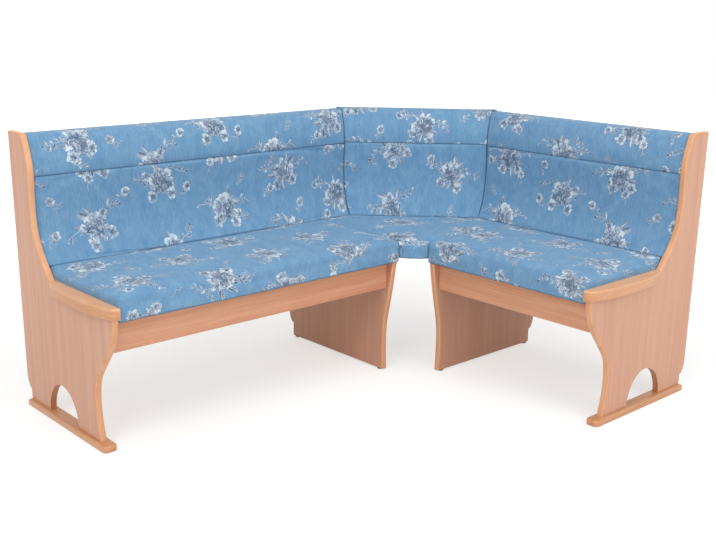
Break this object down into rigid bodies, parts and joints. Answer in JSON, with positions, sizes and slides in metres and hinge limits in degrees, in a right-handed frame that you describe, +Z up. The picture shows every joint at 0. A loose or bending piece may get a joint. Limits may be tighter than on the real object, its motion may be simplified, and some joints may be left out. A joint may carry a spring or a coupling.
{
  "type": "upholstered corner bench",
  "caption": "Upholstered corner bench with a long and a short wing, beech end panels with arches, curved arm mouldings, foot rails and padded backs.",
  "frame": {"origin": "middle of the footprint box, on the floor", "axes": "+Z up; the long bench lies along +Y's wall and its seat faces -Y; the short bench lies along +X's wall and its seat faces -X; the corner is at +X +Y"},
  "size_m": [1.7375, 1.3194, 0.86],
  "materials": {
    "laminate_panel": "beech-grain laminate, satin, vertical grain",
    "laminate_apron": "beech-grain laminate, satin, horizontal grain",
    "beech_edging": "lacquered beech lipping, satin",
    "solid_beech": "lacquered solid beech, satin",
    "batten": "planed softwood, bare",
    "raw_board": "bare chipboard",
    "hardboard": "bare hardboard",
    "upholstery": "blue flock fabric with a pale floral print over foam",
    "steel_fitting": "zinc-plated steel",
    "glide": "dark brown plastic"
  },
  "bodies": {
    "root": {"long_end_panel": "laminate_panel", "long_inner_panel": "laminate_panel", "long_end_edging_upper": "beech_edging", "long_end_edging_lower": "beech_edging", "long_inner_edging": "beech_edging", "long_arm_moulding": "solid_beech", "long_foot_rail": "solid_beech", "long_apron": "laminate_apron", "long_rear_rail": "laminate_apron", "long_end_batten": "batten", "long_corner_batten": "batten", "long_seat_board": "raw_board", "long_seat_pad": "upholstery", "long_front_glide": "glide", "long_rear_glide": "glide", "long_lower_back_plate": "steel_fitting", "long_upper_back_plate": "steel_fitting", "long_inner_apron_bracket": "steel_fitting", "long_inner_rear_rail_bracket": "steel_fitting", "long_end_apron_bracket": "steel_fitting", "long_end_rear_rail_bracket": "steel_fitting", "short_end_panel": "laminate_panel", "short_inner_panel": "laminate_panel", "short_end_edging_upper": "beech_edging", "short_end_edging_lower": "beech_edging", "short_inner_edging": "beech_edging", "short_arm_moulding": "solid_beech", "short_foot_rail": "solid_beech", "short_apron": "laminate_apron", "short_rear_rail": "laminate_apron", "short_end_batten": "batten", "short_corner_batten": "batten", "short_seat_board": "raw_board", "short_seat_pad": "upholstery", "short_front_glide": "glide", "short_rear_glide": "glide", "short_lower_back_plate": "steel_fitting", "short_upper_back_plate": "steel_fitting", "short_inner_apron_bracket": "steel_fitting", "short_inner_rear_rail_bracket": "steel_fitting", "short_end_apron_bracket": "steel_fitting", "short_end_rear_rail_bracket": "steel_fitting", "corner_seat_board": "raw_board", "corner_seat_pad": "upholstery", "long_back_board": "raw_board", "long_back_frame": "batten", "long_back_skin": "hardboard", "long_back_pad": "upholstery", "long_head_roll": "upholstery", "corner_back_board": "raw_board", "corner_back_frame": "batten", "corner_back_skin": "hardboard", "corner_back_pad": "upholstery", "corner_head_roll": "upholstery", "short_back_board": "raw_board", "short_back_frame": "batten", "short_back_skin": "hardboard", "short_back_pad": "upholstery", "short_head_roll": "upholstery"}
  },
  "joints": []
}
